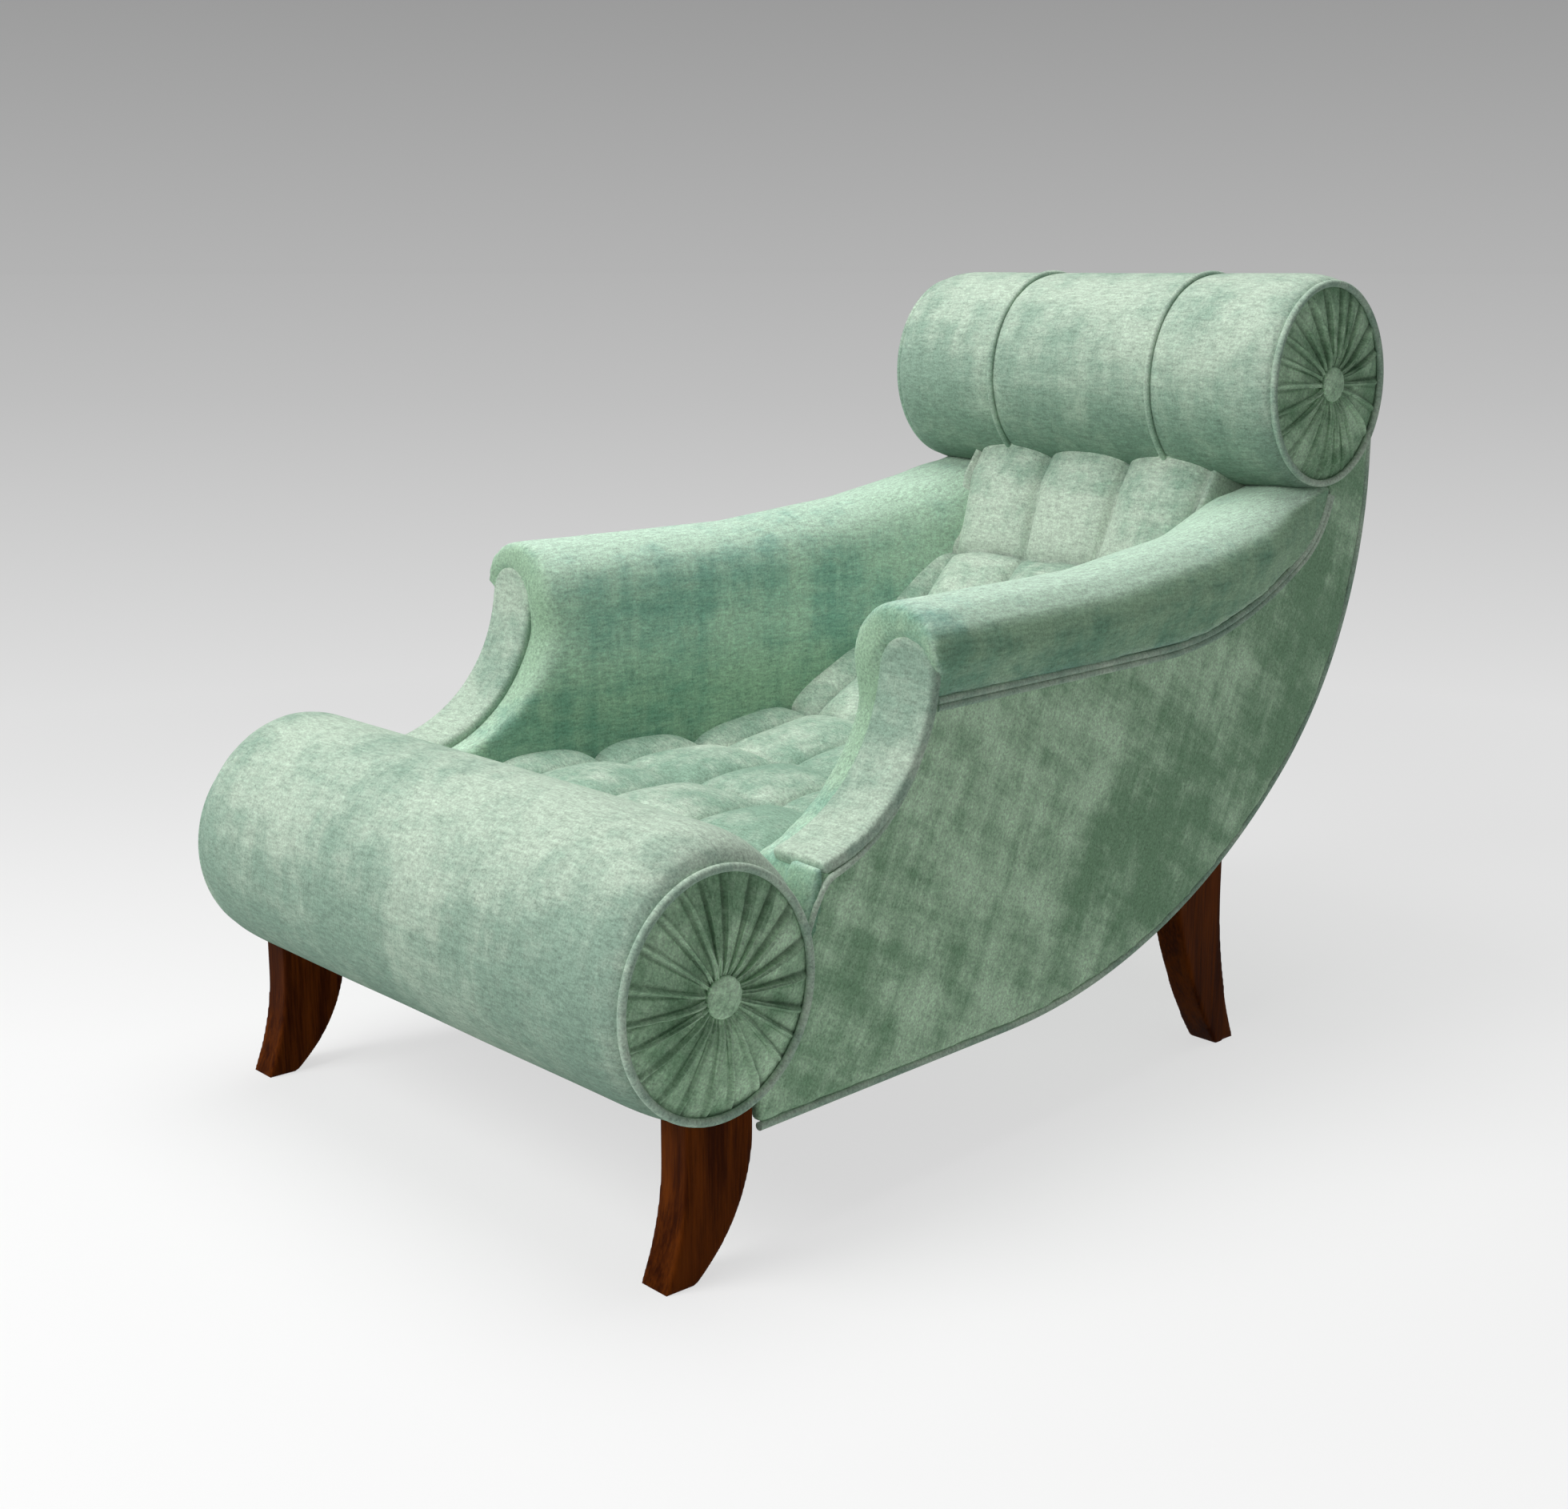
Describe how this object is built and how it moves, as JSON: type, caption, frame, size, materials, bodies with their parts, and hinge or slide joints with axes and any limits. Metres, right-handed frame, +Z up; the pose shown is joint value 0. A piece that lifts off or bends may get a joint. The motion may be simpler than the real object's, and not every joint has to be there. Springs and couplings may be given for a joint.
{
  "type": "lounge armchair",
  "caption": "Low upholstered lounge armchair with a roll at the seat's front and at the head, padded arms, a tufted seat and back in one sweep, and sabre legs.",
  "frame": {"origin": "on the floor, below the middle of the chair's width and depth", "axes": "+Z up, front of the seat towards -Y, the side that the picture shows towards +X"},
  "size_m": [0.7404, 1.164, 0.846],
  "materials": {
    "velvet": "mottled sage green velvet",
    "leg_wood": "dark stained, worn wax polish",
    "frame_wood": "plain sawn beech",
    "filling": "cotton felt over hair",
    "canvas": "plain weave",
    "webbing": "jute weave",
    "steel": "plain"
  },
  "bodies": {
    "root": {"front_leg_left": "leg_wood", "front_leg_right": "leg_wood", "back_leg_left": "leg_wood", "back_leg_right": "leg_wood", "leg_pegs": "frame_wood", "side_rail_left": "frame_wood", "side_rail_right": "frame_wood", "back_post_left": "frame_wood", "back_post_right": "frame_wood", "arm_post_left": "frame_wood", "arm_post_right": "frame_wood", "arm_rail_left": "frame_wood", "arm_rail_right": "frame_wood", "front_rail": "frame_wood", "rear_rail": "frame_wood", "back_lower_rail": "frame_wood", "back_top_rail": "frame_wood", "corner_blocks": "frame_wood", "front_roll_ends": "frame_wood", "front_roll_beam": "frame_wood", "head_roll_ends": "frame_wood", "head_roll_batten": "frame_wood", "roll_pegs": "frame_wood", "front_roll_filling": "filling", "head_roll_filling": "filling", "back_stuffing": "filling", "front_roll_cover": "velvet", "end_discs": "velvet", "roll_welts": "velvet", "head_cover_sides": "velvet", "head_cover_middle": "velvet", "roll_buttons": "velvet", "tufted_pad": "velvet", "arm_pad_left": "velvet", "arm_pad_right": "velvet", "arm_facing_left": "velvet", "arm_facing_right": "velvet", "side_panel_left": "velvet", "side_panel_right": "velvet", "side_welts_left": "velvet", "side_welts_right": "velvet", "outside_back": "velvet", "seat_canvas": "canvas", "seat_webbing": "webbing", "back_webbing": "webbing", "seat_springs": "steel", "dust_cover": "canvas"}
  },
  "joints": []
}
